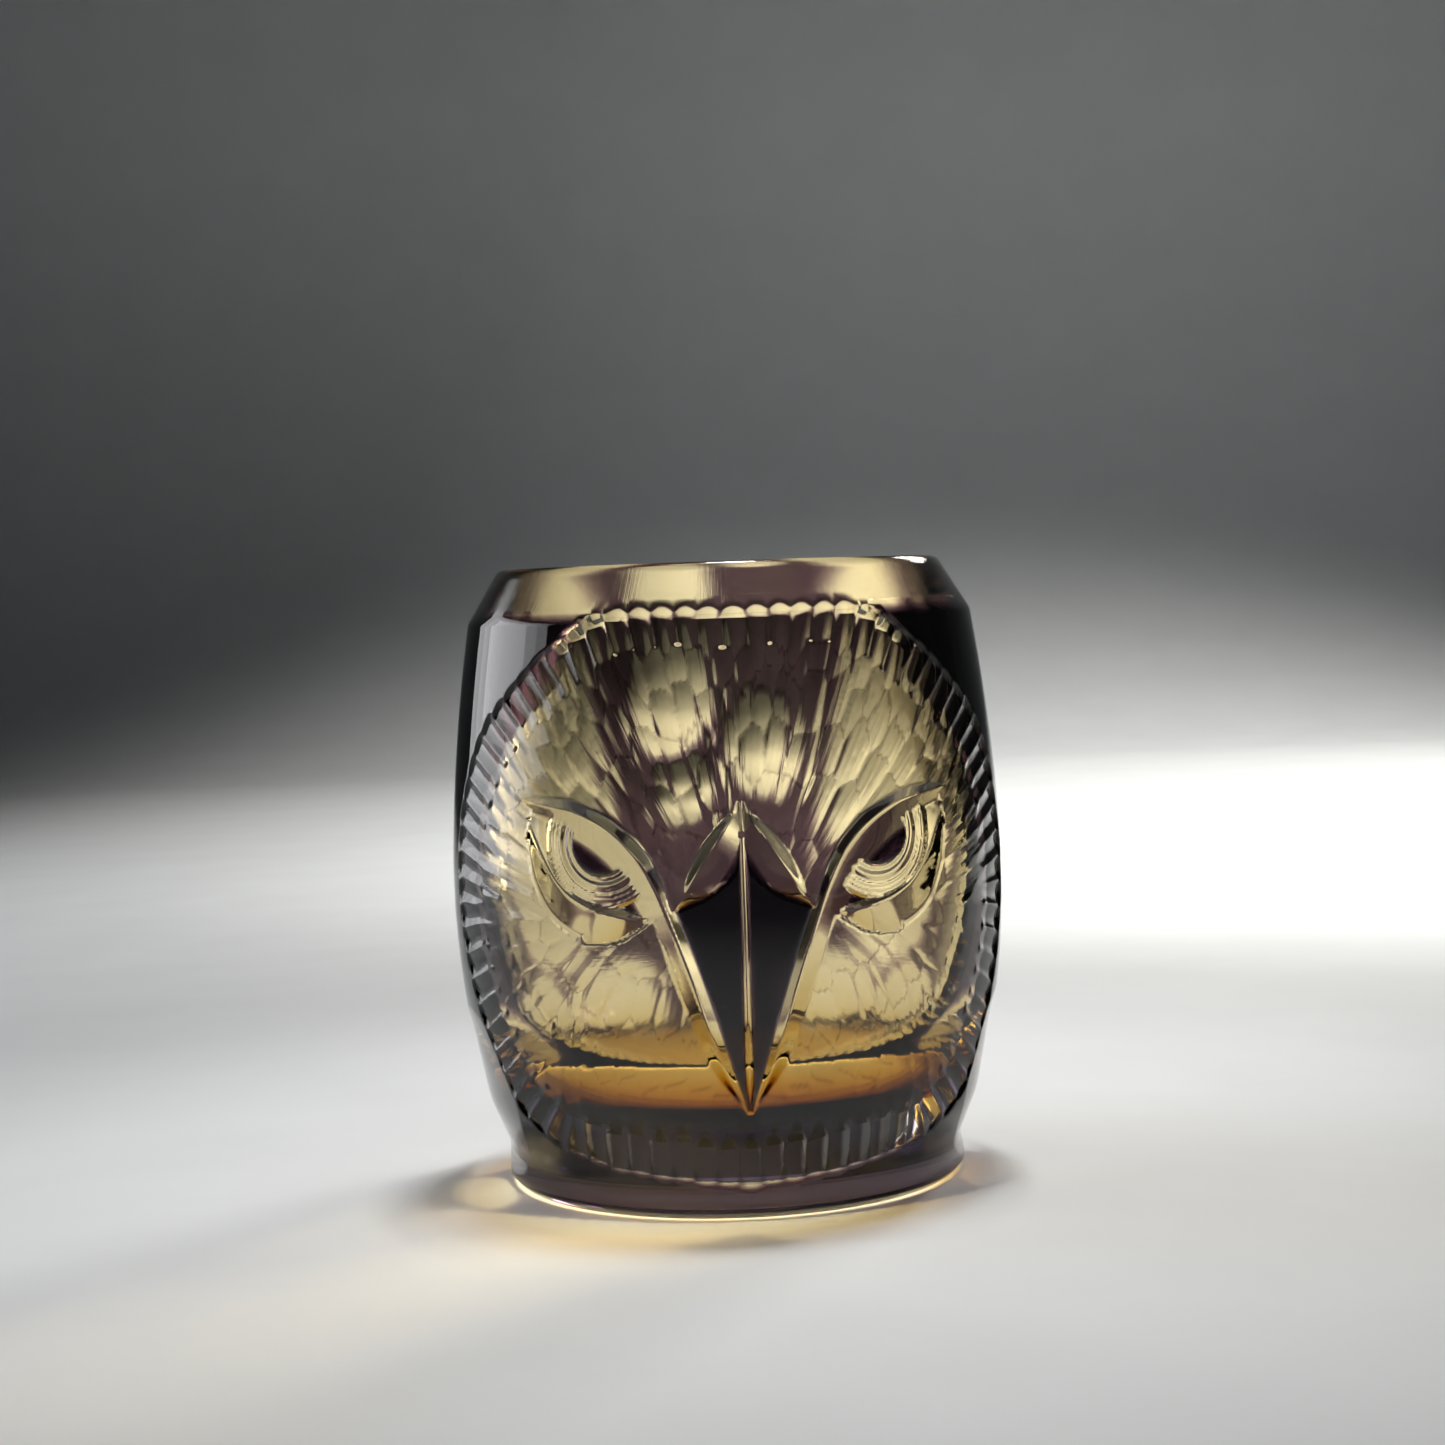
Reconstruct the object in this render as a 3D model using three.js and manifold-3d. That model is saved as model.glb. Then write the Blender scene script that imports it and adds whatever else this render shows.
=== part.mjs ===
// Cased cut crystal tumbler with the face of a bird of prey cut into its front.
// Three fused layers of glass: an amber lining, a thick colourless body and a dark
// overlay that the cutting wheel has divided into a main casing and six small islands.
// Millimetres, +Z up, the face looks along -Y, the foot stands on z = 0.

import * as THREE from "three";
import { mergeVertices } from "three/addons/utils/BufferGeometryUtils.js";
import Module from "manifold-3d";

const wasm = await Module();
wasm.setup();

// ---------------------------------------------------------------- driving dimensions

const HEIGHT = 93.3;
const RIM_TOP_R = 33.4;
const BEVEL_BOTTOM_Z = 85.3;
const BEVEL_TOP_Z = 92.9;
const FOOT_R = 35;
const FOOT_CHAMFER = 1.6;

const OVERLAY_THICKNESS = 0.6;
const LINING_THICKNESS = 0.8;
const LINING_FLOOR_EXTRA = 1.8;
const LAYER_GAP = 0.3;

const CAVITY_FLOOR_Z = 15.3;
const CAVITY_FLOOR_R = 17;
const CAVITY_CORNER_R = 17;
const CAVITY_CORNER_END_DEG = -8;
const RIM_LIP_DROP = 0.4;

const AROUND = 60;
const UNROLL_R = 41;

// Outside of the dark overlay, [height, radius].
const CASING_PROFILE = [
  [1.6, 35],
  [5.3, 35],
  [8.5, 36.6],
  [12.3, 38.4],
  [17.3, 39.5],
  [25.3, 40.4],
  [35.3, 41.5],
  [46.3, 42],
  [56.3, 41.6],
  [66.3, 40.8],
  [77.3, 39.5],
  [85.3, 38.3],
];

// Cavity wall above the rounded corner, [height, radius].
const CAVITY_WALL = [
  [47.3, 36],
  [61.3, 35.3],
  [77.3, 33.6],
  [93.3, 31.2],
];

// Mitre cuts of the right half of the face, [across, height, width], measured on
// the surface unrolled at UNROLL_R. The left half is the mirror image.
const BROW_CUT = [
  [39.2, 61.8, 0],
  [34.6, 60.1, 1.6],
  [29.4, 59.2, 3.2],
  [25.2, 58.3, 4.1],
  [20, 55.9, 4.6],
  [15.8, 52.3, 4.6],
  [13, 47.9, 4.6],
  [10.9, 43.3, 4.5],
  [8.9, 37.7, 4.5],
  [7.3, 32.9, 4.4],
  [5.7, 27.8, 4.3],
  [3.6, 22.1, 3.4],
  [0.4, 16.1, 0],
];
const NOSTRIL_LEAF_CUT = [
  [0.3, 59.7, 0],
  [2.4, 56.3, 3.6],
  [4.7, 52.7, 5.2],
  [7.2, 48.9, 3.9],
  [9.3, 45.2, 0],
];
const LOWER_LID_CUT = [
  [34.8, 59.5, 0],
  [32.8, 53.5, 2.3],
  [31, 49.5, 3.8],
  [28.7, 46.6, 5],
  [25, 43.9, 5.6],
  [20, 42.6, 5],
  [16.8, 42.6, 3.6],
  [13.7, 43.3, 0],
];
const BEAK_RIDGE_CUT = [
  [0, 59.9, 0.4],
  [0, 55.3, 1.3],
  [0, 37.3, 1.4],
  [0, 21.3, 1.6],
  [0, 15.9, 0.5],
];
// Row of large shallow ovals low on each side, from the edge of the face towards the
// back: angle from the front, centre height, half width, half height, depth.
const LOW_OVAL_ANGLES_DEG = [79, 112.6, 146.2];
const LOW_OVAL = { height: 15, halfWidth: 11.2, halfHeight: 9.5, depth: 1.6 };
// Tall clear panel cut into each side of the back.
const BACK_PANEL_ANGLE_DEG = 127;
const BACK_PANEL = { height: 53, halfWidth: 16, halfHeight: 27, depth: 1.8 };

// Depth of each mitre cut as a share of its width.
const BROW_SLOPE = 0.42;
const NOSTRIL_SLOPE = 0.4;
const LID_SLOPE = 0.36;
const RIDGE_SLOPE = 1;

const EYE = { across: 20.4, height: 54.6, pupil: 4.4, iris: 9.4, depth: 1.5 };
const CORNER_OUTLINE = [
  [17.5, 53.8],
  [11.9, 45.6],
  [13.4, 43.1],
  [20, 42.7],
  [20, 47.3],
];

// Edge of the feathered field on the front, right half, [across, height].
const FEATHER_FIELD = [
  [0, 86.9],
  [19, 86.9],
  [26.6, 81.5],
  [36.5, 74.4],
  [45, 67.1],
  [51, 56.3],
  [52.5, 45.3],
  [50, 33.3],
  [44, 21.3],
  [36, 12.8],
  [25.2, 8.7],
  [12, 6.7],
  [0, 6.1],
];
const FEATHER_END_R = 1.7;
const FEATHER_ENDS = 68;
const FIELD_EDGE_STEPS = 64;

// Oval windows in the back: centre across and height, half width, half height, depth.
const BACK_OVALS = [
  { across: -120.6, height: 72.3, halfWidth: 7.6, halfHeight: 9.2, depth: 1.8 },
  { across: 119.3, height: 63.3, halfWidth: 6.3, halfHeight: 8, depth: 1.8 },
  { across: -123.4, height: 55.7, halfWidth: 4.2, halfHeight: 5.2, depth: 1.8 },
];

// ---------------------------------------------------------------- helpers

function interpolate(table, x) {
  const last = table.length - 1;
  let i = 0;
  while (i < last - 1 && x > table[i + 1][0]) {
    i += 1;
  }
  const [x0, y0] = table[i];
  const [x1, y1] = table[i + 1];
  return y0 + ((y1 - y0) * (x - x0)) / (x1 - x0);
}

function casingRadius(z) {
  return interpolate(CASING_PROFILE, z);
}

// Bends a flat shape (across, height, outward) round the barrel.
function wrap(geometry) {
  const position = geometry.attributes.position;
  for (let i = 0; i < position.count; i += 1) {
    const angle = position.getX(i) / UNROLL_R;
    const height = position.getY(i);
    const radius = casingRadius(height) + position.getZ(i);
    position.setXYZ(i, radius * Math.sin(angle), -radius * Math.cos(angle), height);
  }
  return geometry;
}

// Closed geometry to a solid, with its faces turned outward.
function toSolid(geometry) {
  const bare = geometry.clone();
  bare.deleteAttribute("normal");
  bare.deleteAttribute("uv");
  const merged = mergeVertices(bare, 1e-4);
  const points = merged.attributes.position.array;
  const index = merged.index.array;
  const corner = (i) => new THREE.Vector3().fromArray(points, 3 * i);
  const triangles = [];
  let volume = 0;
  for (let i = 0; i < index.length; i += 3) {
    const [a, b, c] = [index[i], index[i + 1], index[i + 2]];
    if (a === b || b === c || c === a) {
      continue;
    }
    volume += corner(a).dot(corner(b).cross(corner(c)));
    triangles.push(a, b, c);
  }
  if (volume < 0) {
    triangles.reverse();
  }
  const mesh = new wasm.Mesh({
    numProp: 3,
    vertProperties: new Float32Array(points),
    triVerts: new Uint32Array(triangles),
  });
  return new wasm.Manifold(mesh);
}

function turned(profile, segments = AROUND) {
  const points = profile.map(([z, r]) => new THREE.Vector2(r, z));
  return toSolid(new THREE.LatheGeometry(points, segments).rotateX(Math.PI / 2));
}

// A V-shaped cut along a path of [across, height, width] points. The wheel's edge
// rises to the surface where the width falls to nothing.
function mitreCut(path, slope, steps = 18, mirror = 1) {
  const clearance = 0.5;
  const cover = 1.2;
  const leastDepth = 0.03;
  const curve = new THREE.CatmullRomCurve3(path.map((p) => new THREE.Vector3(...p)));
  const geometry = new THREE.CylinderGeometry(1, 1, 1, 4, steps);
  const position = geometry.attributes.position;
  for (let i = 0; i < position.count; i += 1) {
    const t = Math.min(Math.max(0.5 - position.getY(i), 0), 1);
    const at = curve.getPoint(t);
    const tangent = curve.getTangent(t);
    const run = Math.hypot(tangent.x, tangent.y);
    const depth = Math.max(at.z * slope, leastDepth);
    const half = (depth + clearance) / (2 * slope);
    const side = position.getX(i) * half;
    const up = position.getZ(i);
    let out = clearance;
    if (up < -0.5) {
      out = -depth;
    } else if (up > 0.5) {
      out = clearance + cover;
    }
    const across = at.x + (side * tangent.y) / run;
    const height = at.y - (side * tangent.x) / run;
    position.setXYZ(i, mirror * across, height, out);
  }
  return toSolid(wrap(geometry));
}

// Prism of a flat outline, bent round the barrel.
function wrappedPrism(outline, mirror = 1) {
  const reach = 3;
  const shape = new THREE.Shape(outline.map(([x, y]) => new THREE.Vector2(mirror * x, y)));
  const geometry = new THREE.ExtrudeGeometry(shape, { depth: 2 * reach, bevelEnabled: false });
  return toSolid(wrap(geometry.translate(0, 0, -reach)));
}

function centreLine(path) {
  return path.map(([across, height]) => [across, height]);
}

function disc(across, height, radius, count) {
  const outline = [];
  for (let i = 0; i < count; i += 1) {
    const a = (2 * Math.PI * i) / count;
    outline.push([across + radius * Math.cos(a), height + radius * Math.sin(a)]);
  }
  return outline;
}

function irisRing(mirror) {
  const wall = 0.5;
  const section = [
    [EYE.pupil, 0.6],
    [EYE.pupil + wall, -EYE.depth],
    [EYE.iris - wall, -EYE.depth],
    [EYE.iris, 0.6],
    [EYE.pupil, 0.6],
  ];
  const points = section.map(([r, out]) => new THREE.Vector2(r, out));
  const ring = new THREE.LatheGeometry(points, 24).rotateX(Math.PI / 2);
  return toSolid(wrap(ring.translate(mirror * EYE.across, EYE.height, 0)));
}

function ovalCut({ across, height, halfWidth, halfHeight, depth }) {
  const ball = new THREE.SphereGeometry(1, 20, 10);
  ball.scale(halfWidth, halfHeight, depth);
  return toSolid(wrap(ball.translate(across, height, 0)));
}

function lowOvals(mirror) {
  return LOW_OVAL_ANGLES_DEG.map((degrees) => {
    const across = mirror * THREE.MathUtils.degToRad(degrees) * UNROLL_R;
    return ovalCut({ ...LOW_OVAL, across });
  });
}

function backPanel(mirror) {
  const across = mirror * THREE.MathUtils.degToRad(BACK_PANEL_ANGLE_DEG) * UNROLL_R;
  return ovalCut({ ...BACK_PANEL, across });
}

// Everything inside the edge of the feathered field, as a straight cut through the
// front wall, and a row of round feather ends standing out past that edge.
function featherField() {
  const right = FEATHER_FIELD.slice(1, -1);
  const left = right.map(([across, height]) => [-across, height]).reverse();
  const loop = [FEATHER_FIELD[0], ...right, FEATHER_FIELD.at(-1), ...left];
  const corners = loop.map(([across, height]) => new THREE.Vector3(across, height, 0));
  const edge = new THREE.CatmullRomCurve3(corners, true);
  const outline = edge.getSpacedPoints(FIELD_EDGE_STEPS).slice(0, -1).map((at) => {
    return new THREE.Vector2(casingRadius(at.y) * Math.sin(at.x / UNROLL_R), at.y);
  });
  const depth = 60;
  const prism = new THREE.ExtrudeGeometry(new THREE.Shape(outline), { depth, bevelEnabled: false });
  const ends = edge.getSpacedPoints(FEATHER_ENDS).slice(0, -1).map((at) => {
    return wrappedPrism(disc(at.x, at.y, FEATHER_END_R, 8));
  });
  return [toSolid(prism.rotateX(Math.PI / 2)), ...ends];
}

// Inner face of the cup, moved into the glass by the given distance, bottom to top.
// On the floor it is moved further by floorExtra, which dies away round the corner.
function cavityProfile(offset, topZ, floorExtra = 0) {
  const steps = 6;
  const profile = [[CAVITY_FLOOR_Z - offset - floorExtra, 0]];
  for (let i = 0; i <= steps; i += 1) {
    const degrees = -90 + ((90 + CAVITY_CORNER_END_DEG) * i) / steps;
    const a = THREE.MathUtils.degToRad(degrees);
    const radius = CAVITY_CORNER_R + offset + floorExtra * Math.sin(a) ** 4;
    const z = CAVITY_FLOOR_Z + CAVITY_CORNER_R + radius * Math.sin(a);
    profile.push([z, CAVITY_FLOOR_R + radius * Math.cos(a)]);
  }
  for (const [z, r] of CAVITY_WALL.slice(0, -1)) {
    profile.push([z, r + offset]);
  }
  profile.push([topZ, interpolate(CAVITY_WALL, topZ) + offset]);
  return profile;
}

// ---------------------------------------------------------------- cutters

const browRight = mitreCut(BROW_CUT, BROW_SLOPE);
const browLeft = mitreCut(BROW_CUT, BROW_SLOPE, 18, -1);
const ridge = mitreCut(BEAK_RIDGE_CUT, RIDGE_SLOPE, 8);
const faceCuts = [browRight, browLeft, ridge];
for (const mirror of [1, -1]) {
  faceCuts.push(mitreCut(NOSTRIL_LEAF_CUT, NOSTRIL_SLOPE, 8, mirror));
  faceCuts.push(mitreCut(LOWER_LID_CUT, LID_SLOPE, 14, mirror));
  faceCuts.push(irisRing(mirror));
}
const bodyCuts = [...lowOvals(1), ...lowOvals(-1), ...BACK_OVALS.map(ovalCut)];
bodyCuts.push(backPanel(1), backPanel(-1));

function cutAway(blank, cutters) {
  return cutters.reduce((rest, cutter) => rest.subtract(cutter), blank);
}

// ---------------------------------------------------------------- blanks

const bevelRun = (casingRadius(BEVEL_BOTTOM_Z) - RIM_TOP_R) / (BEVEL_TOP_Z - BEVEL_BOTTOM_Z);
const overlayInset = OVERLAY_THICKNESS + LAYER_GAP;
const bodyBevelZ = BEVEL_BOTTOM_Z + overlayInset / (bevelRun + 0.15) + 0.2;
const liningOffset = LINING_THICKNESS + LAYER_GAP;

const bodyBlank = turned([
  [0, 0],
  [0, FOOT_R - FOOT_CHAMFER],
  [FOOT_CHAMFER - overlayInset, FOOT_R - overlayInset],
  ...CASING_PROFILE.slice(1).map(([z, r]) => [z, r - overlayInset]),
  [bodyBevelZ, casingRadius(BEVEL_BOTTOM_Z) - (bodyBevelZ - BEVEL_BOTTOM_Z) * bevelRun],
  [BEVEL_TOP_Z, RIM_TOP_R],
  [HEIGHT, RIM_TOP_R - RIM_LIP_DROP],
  ...cavityProfile(liningOffset, HEIGHT, LINING_FLOOR_EXTRA).reverse(),
]);

const liningBlank = turned([
  ...cavityProfile(LINING_THICKNESS, HEIGHT - 0.3, LINING_FLOOR_EXTRA),
  ...cavityProfile(0, HEIGHT - 0.3).reverse(),
]);

const overlayTopZ = BEVEL_BOTTOM_Z + OVERLAY_THICKNESS / (bevelRun + 0.15);
const overlayTopR = casingRadius(BEVEL_BOTTOM_Z) - (overlayTopZ - BEVEL_BOTTOM_Z) * bevelRun;
const overlayOuter = CASING_PROFILE.map(([z, r]) => [z, r]);
const overlayInner = CASING_PROFILE.slice(1, -1).map(([z, r]) => [z, r - OVERLAY_THICKNESS]);
const overlayFoot = [FOOT_CHAMFER - OVERLAY_THICKNESS, FOOT_R - OVERLAY_THICKNESS];
const overlayBlank = turned([
  overlayFoot,
  ...overlayOuter,
  [overlayTopZ, overlayTopR],
  ...overlayInner.reverse(),
  overlayFoot,
]);

// ---------------------------------------------------------------- overlay islands

function beakHalf(mirror) {
  const outline = [
    [0, BEAK_RIDGE_CUT[0][1]],
    [0, BEAK_RIDGE_CUT.at(-1)[1]],
    ...centreLine(BROW_CUT).slice(7, -1).reverse(),
    ...centreLine(NOSTRIL_LEAF_CUT).slice(1).reverse(),
  ];
  return cutAway(overlayBlank.intersect(wrappedPrism(outline, mirror)), faceCuts);
}

function belowBrow(mirror) {
  const outline = [...centreLine(BROW_CUT).slice(1, 8), [11, 39.3], [34, 39.3]];
  return wrappedPrism(outline, mirror);
}

function pupil(mirror) {
  const round = wrappedPrism(disc(EYE.across, EYE.height, EYE.pupil, 24), mirror);
  return cutAway(overlayBlank.intersect(round).intersect(belowBrow(mirror)), faceCuts);
}

function eyeCorner(mirror) {
  const patch = overlayBlank.intersect(wrappedPrism(CORNER_OUTLINE, mirror));
  const irisDisc = wrappedPrism(disc(EYE.across, EYE.height, EYE.iris + 0.1, 24), mirror);
  return cutAway(patch, [...faceCuts, irisDisc]);
}

// ---------------------------------------------------------------- finished glass

const crystal = { color: 0xdde1df, roughness: 0.04, metalness: 0 };
const amber = { color: 0xc9973a, roughness: 0.05, metalness: 0 };
const overlayGlass = { color: 0x241a26, roughness: 0.06, metalness: 0 };

const pieces = {
  crystal_body: [cutAway(bodyBlank, [...faceCuts, ...bodyCuts]), crystal],
  amber_lining: [liningBlank, amber],
  overlay_casing: [cutAway(overlayBlank, [...featherField(), ...bodyCuts]), overlayGlass],
  overlay_beak_left: [beakHalf(-1), overlayGlass],
  overlay_beak_right: [beakHalf(1), overlayGlass],
  overlay_pupil_left: [pupil(-1), overlayGlass],
  overlay_pupil_right: [pupil(1), overlayGlass],
  overlay_eye_corner_left: [eyeCorner(-1), overlayGlass],
  overlay_eye_corner_right: [eyeCorner(1), overlayGlass],
};

function toGeometry(shape) {
  const mesh = shape.getMesh();
  const geometry = new THREE.BufferGeometry();
  geometry.setAttribute("position", new THREE.Float32BufferAttribute(mesh.vertProperties, 3));
  geometry.setIndex(new THREE.Uint32BufferAttribute(mesh.triVerts, 1));
  const faceted = geometry.toNonIndexed();
  faceted.computeVertexNormals();
  return faceted;
}

const tumbler = new THREE.Group();
tumbler.name = "cut_crystal_tumbler";
for (const [name, [shape, look]] of Object.entries(pieces)) {
  const mesh = new THREE.Mesh(toGeometry(shape), new THREE.MeshStandardMaterial(look));
  mesh.name = name;
  tumbler.add(mesh);
}

export default tumbler;
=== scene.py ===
"""Cased cut crystal tumbler with a bird-of-prey face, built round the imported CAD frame.

Lengths in the design tables are millimetres, as in the CAD. Across is measured round the
barrel on a surface unrolled at UNROLL_R, to the right of a viewer who faces the glass.
"""
import math
import random

import bpy
import numpy as np
from mathutils import Matrix, Vector


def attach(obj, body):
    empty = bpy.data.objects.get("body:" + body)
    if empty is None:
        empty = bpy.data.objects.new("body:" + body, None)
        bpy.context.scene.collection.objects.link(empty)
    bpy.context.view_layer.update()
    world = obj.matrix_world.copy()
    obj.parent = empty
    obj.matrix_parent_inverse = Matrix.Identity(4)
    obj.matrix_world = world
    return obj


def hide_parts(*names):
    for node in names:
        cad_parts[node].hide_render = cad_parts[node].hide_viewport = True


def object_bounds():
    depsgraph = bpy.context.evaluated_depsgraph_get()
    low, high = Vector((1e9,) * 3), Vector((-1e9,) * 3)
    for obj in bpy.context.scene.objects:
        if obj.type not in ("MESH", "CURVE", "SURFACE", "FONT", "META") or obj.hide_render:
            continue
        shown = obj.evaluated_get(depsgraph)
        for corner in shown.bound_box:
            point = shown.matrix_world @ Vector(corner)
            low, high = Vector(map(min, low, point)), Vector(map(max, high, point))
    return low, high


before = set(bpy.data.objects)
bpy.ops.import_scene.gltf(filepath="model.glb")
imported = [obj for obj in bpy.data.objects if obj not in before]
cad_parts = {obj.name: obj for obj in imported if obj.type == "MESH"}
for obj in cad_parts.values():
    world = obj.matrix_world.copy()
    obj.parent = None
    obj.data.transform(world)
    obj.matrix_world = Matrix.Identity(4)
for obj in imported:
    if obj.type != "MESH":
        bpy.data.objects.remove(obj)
cad_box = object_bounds()

MM = 0.001
UNROLL_R = 41.0
FULL_TURN = 2 * math.pi * UNROLL_R

# ------------------------------------------------------------------ shape of the glass
BEVEL_Z, FOOT_TOP_Z = 85.3, 1.6
WIDEST_R = (cad_box[1][0] - cad_box[0][0]) / MM / 2
# The side stays this far inside the widest radius of the CAD.
WIDEST_MARGIN = 0.05
OVERLAY_T = 0.6
LINING_T = 0.8
LINING_FLOOR_EXTRA = 1.8
LINING_TOP_Z = 92.9
BOND_GAP = 0.02

# Height and radius.
SIDE = [
    (0.0, 35.0), (1.6, 35.0), (5.3, 35.05), (8.5, 36.6), (12.3, 38.4), (17.3, 39.5),
    (25.3, 40.4), (35.3, 41.5), (46.3, 42.0), (56.3, 41.6), (66.3, 40.8), (77.3, 39.5),
    (85.3, 38.3), (93.3, 37.0),
]
BEVEL = [(85.3, 38.3), (92.8, 33.75), (93.1, 33.45), (93.3, 33.1)]
FOOT_CHAMFER = [(0.0, 33.4), (0.35, 33.95), (1.6, 35.0)]
CAVITY_FLOOR_Z, CAVITY_FLOOR_R, CAVITY_CORNER_R, CAVITY_CORNER_END = 15.3, 17.0, 17.0, -8.0
CAVITY_WALL = [(37.3, 35.1), (47.3, 36.0), (61.3, 35.3), (77.3, 33.6), (93.3, 31.2)]
# Radius and height: rim from the bevel inwards, lip of the lining, rings of the underside.
RIM = [(32.6, 93.3), (32.05, 93.27)]
LINING_LIP = [(31.35, 93.15), (31.65, 93.27), (32.0, 93.25)]
UNDERSIDE = [(30.0, 0.0), (18.0, 0.0)]
FOOT_LEVELS = (0.0, 0.35, 0.9)

# ------------------------------------------------------------------ cuts of the right half
# Mitre grooves: across, height, half width, depth at the valley, depth of the surface
# that the upper or inner flank starts from, and the same for the outer flank.
BROW = [
    (39.6, 62.0, 0.25, 0.4, 0.0, 0.0), (34.6, 60.1, 0.9, 1.2, 0.8, 0.8),
    (29.4, 59.2, 1.7, 1.8, 0.9, 0.9), (25.2, 58.3, 2.1, 2.1, 0.9, 0.9),
    (20.0, 55.9, 2.3, 2.3, 0.9, 0.9), (15.8, 52.3, 2.3, 2.3, 0.9, 0.9),
    (13.0, 47.9, 2.3, 2.3, 0.8, 0.9), (10.9, 43.3, 2.25, 2.2, 0.0, 0.9),
    (8.9, 37.7, 2.25, 2.2, 0.0, 0.9), (7.3, 32.9, 2.2, 2.2, 0.0, 0.9),
    (5.7, 27.8, 2.15, 2.1, 0.0, 0.9), (3.6, 22.1, 1.7, 1.9, 0.0, 0.8),
    (1.6, 18.3, 1.0, 1.2, 0.0, 0.6), (0.3, 15.9, 0.3, 0.5, 0.0, 0.3),
]
LEAF = [
    (0.25, 59.9, 0.2, 0.35, 0.0, 0.0), (2.4, 56.3, 1.8, 1.7, 0.9, 0.0),
    (4.7, 52.7, 2.6, 2.2, 0.9, 0.0), (7.2, 48.9, 1.95, 1.8, 0.9, 0.0),
    (9.4, 45.0, 0.25, 0.4, 0.0, 0.0),
]
# The lid's valley runs near its upper edge: across, height, width above, width below, depth.
LID = [
    (34.9, 59.7, 0.2, 0.2, 0.3), (32.6, 54.5, 0.7, 1.3, 1.4), (30.2, 50.2, 0.9, 2.9, 1.9),
    (27.2, 47.0, 1.0, 4.2, 2.1), (23.6, 45.2, 1.1, 4.8, 2.2), (20.0, 44.3, 1.1, 4.2, 2.1),
    (16.8, 43.8, 0.9, 2.8, 1.6), (13.6, 43.4, 0.25, 0.25, 0.3),
]
RIDGE = [
    (0.0, 59.9, 0.2, 0.3, 0.0, 0.0), (0.0, 56.3, 0.62, 0.95, 0.0, 0.0),
    (0.0, 37.3, 0.72, 1.0, 0.0, 0.0), (0.0, 21.3, 0.85, 1.1, 0.0, 0.0),
    (0.0, 15.7, 0.3, 0.4, 0.0, 0.0),
]
# How far from its valley a groove is looked for, and followed in half widths.
GROOVE_REACH, GROOVE_SPREAD = 9.0, 1.6
LID_REACH, LID_SPREAD = 6.0, 1.4
# Depth of the surface that the lid's lower and upper flank start from.
LID_BELOW, LID_ABOVE = 0.5, 0.9
LEAST_WIDTH = 0.05
PATH_POINTS, LEAF_POINTS = 60, 16
LID_EDGE = [
    (34.0, 55.3), (33.6, 52.8), (32.9, 49.3), (31.0, 45.5), (28.4, 42.7), (26.4, 41.6),
    (23.6, 40.3), (20.0, 40.2), (17.4, 40.8), (14.2, 42.7),
]
BEAK_TIP = (0.0, 15.7)
# The brow bounds the beak below the first height. Above the second, and as far across
# as its end, it bounds the eye.
BEAK_TOP_Z, EYE_CORNER_Z, BROW_END = 45.2, 43.8, 34.6
# Row of large shallow ovals low on each side, from the face towards the back: their
# height, half width, half height and depth.
LOW_OVAL_ANGLES_DEG = (79.0, 112.6, 146.2)
LOW_OVAL = (15.0, 11.2, 9.5, 1.3)
EYE = (20.4, 54.6)
# Depth of the iris against distance from the pupil's centre.
IRIS = [
    (0.0, 0.0), (4.4, 0.0), (4.75, 1.0), (5.1, 1.15), (5.4, 0.9), (6.3, 1.25), (7.2, 0.95),
    (7.55, 1.3), (7.9, 0.95), (8.25, 1.35), (8.6, 0.95), (9.0, 1.4), (9.4, 0.9), (9.9, 0.0),
]
# Lower corners of the area round the eye that the brow closes above.
EYE_BELOW = [(12.0, 39.3), (36.0, 39.3)]
# Beyond this distance from the pupil and this far across, the outer corner of the eye is
# cut to this depth.
OUTER_CORNER_R, OUTER_CORNER_S, OUTER_CORNER_DEPTH = 9.2, 24.0, 0.9
# Right half of the edge of the feathered field, from the top down.
FIELD = [
    (0.0, 85.9), (12.0, 86.5), (20.5, 85.3), (27.0, 81.3), (36.5, 74.3), (45.0, 66.9),
    (50.8, 56.3), (52.0, 45.3), (49.5, 33.3), (43.5, 21.8), (36.0, 14.2), (26.0, 9.9),
    (13.0, 8.0), (0.0, 6.7),
]
FIELD_FOCUS = (0.0, 43.3)
# Width and depth of a feather, the length in which it gets a millimetre shallower, how
# hollow it is across, the drop at its edge and its greatest random tilt.
FEATHER_W, FEATHER_DEPTH = 3.7, 1.05
FEATHER_LONG, FEATHER_ROUND = 15.0, 0.012
FEATHER_EDGE, FEATHER_TILT = 0.05, 0.022
# Fine lengthwise streaks left by the wheel.
STREAK_DEPTH, STREAK_PACE, STREAK_PHASES = 0.008, 6.5, 6.3
# The outermost row is rounder and deeper, and runs out gently to its round ends.
OUTER_ROUND, OUTER_LEAD, OUTER_TIP, OUTER_RUN = 0.09, 0.16, 1.9, 6.0
# Just under the bevel the run-out is shorter.
TOP_ROW_Z, TOP_RUN = 80.0, 1.8
FEATHER_ROWS, ROW_PITCH, LOW_ROW_PITCH = 6, 0.15, 0.21
# Where two cuts are closer in depth than this they meet in a crest.
CREST_DROP = 0.06
SMALLEST_ROW, FEWEST_FEATHERS = 0.08, 6
# The feathers point away from a focus that is lower for those above it, higher for those
# below it.
FOCUS_DOWN, FOCUS_UP = 6.0, 8.0
# Below the focus they hang: this far to either side, fully at this drop, by this share.
HANG_HALF, HANG_DROP, HANG_SHARE = 30.0, 20.0, 0.75
# Random changes of place, turn, depth and position along the feather, to either side.
JITTER_S, JITTER_Z, JITTER_TURN, JITTER_DEPTH, JITTER_SLIDE = 0.12, 0.15, 0.06, 0.012, 1.6
LOW_JITTER_SHARE = 0.5
FEATHER_REACH = 12.0
EDGE_LIMIT, EDGE_POWER = 2.0, 8
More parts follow.
